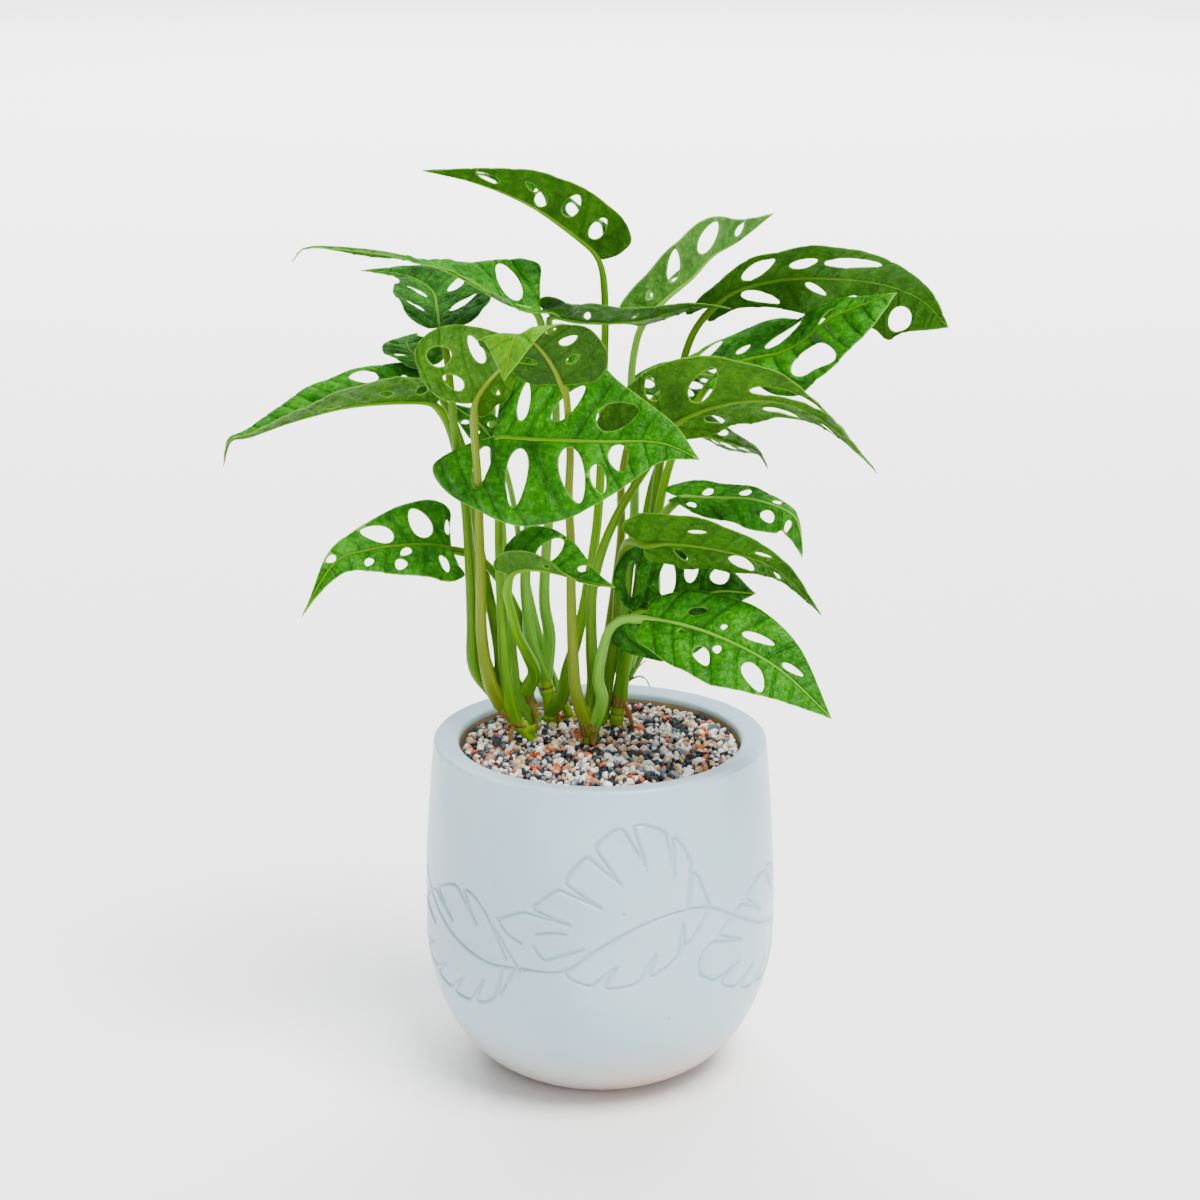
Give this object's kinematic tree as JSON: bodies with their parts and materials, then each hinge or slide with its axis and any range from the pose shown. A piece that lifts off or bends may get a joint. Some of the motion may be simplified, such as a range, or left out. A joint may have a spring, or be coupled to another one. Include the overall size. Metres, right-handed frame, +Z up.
{
  "type": "potted swiss cheese vine",
  "caption": "House plant with perforated leaves on long stalks, standing in soil and gravel in a round glazed pot.",
  "frame": {"origin": "centre of the pot's foot, on the surface it stands on", "axes": "+Z up; the front of the plant, the side that the longest blade at mid height faces, looks along -Y"},
  "size_m": [0.4185, 0.2137, 0.5481],
  "materials": {
    "glazed_pot": "satin glaze",
    "soil": "matt",
    "gravel": "dull",
    "stem_green": "satin",
    "leaf_green": "satin",
    "young_leaf_green": "satin"
  },
  "bodies": {
    "root": {"pot": "glazed_pot", "potting_soil": "soil", "gravel": "gravel", "stem_1": "stem_green", "stem_2": "stem_green", "stem_3": "stem_green", "stem_4": "stem_green", "stem_5": "stem_green", "stem_6": "stem_green", "stem_7": "stem_green", "leaf_01": "leaf_green", "leaf_02": "leaf_green", "leaf_03": "leaf_green", "leaf_04": "leaf_green", "leaf_05": "leaf_green", "leaf_06": "young_leaf_green", "leaf_07": "leaf_green", "leaf_08": "leaf_green", "leaf_09": "leaf_green", "leaf_10": "leaf_green", "leaf_11": "leaf_green", "leaf_12": "leaf_green", "leaf_13": "leaf_green", "leaf_14": "leaf_green", "leaf_15": "leaf_green", "leaf_16": "leaf_green", "leaf_17": "leaf_green", "leaf_18": "leaf_green", "leaf_19": "leaf_green", "leaf_20": "leaf_green", "leaf_21": "leaf_green", "leaf_22": "leaf_green", "leaf_23": "leaf_green"}
  },
  "joints": []
}
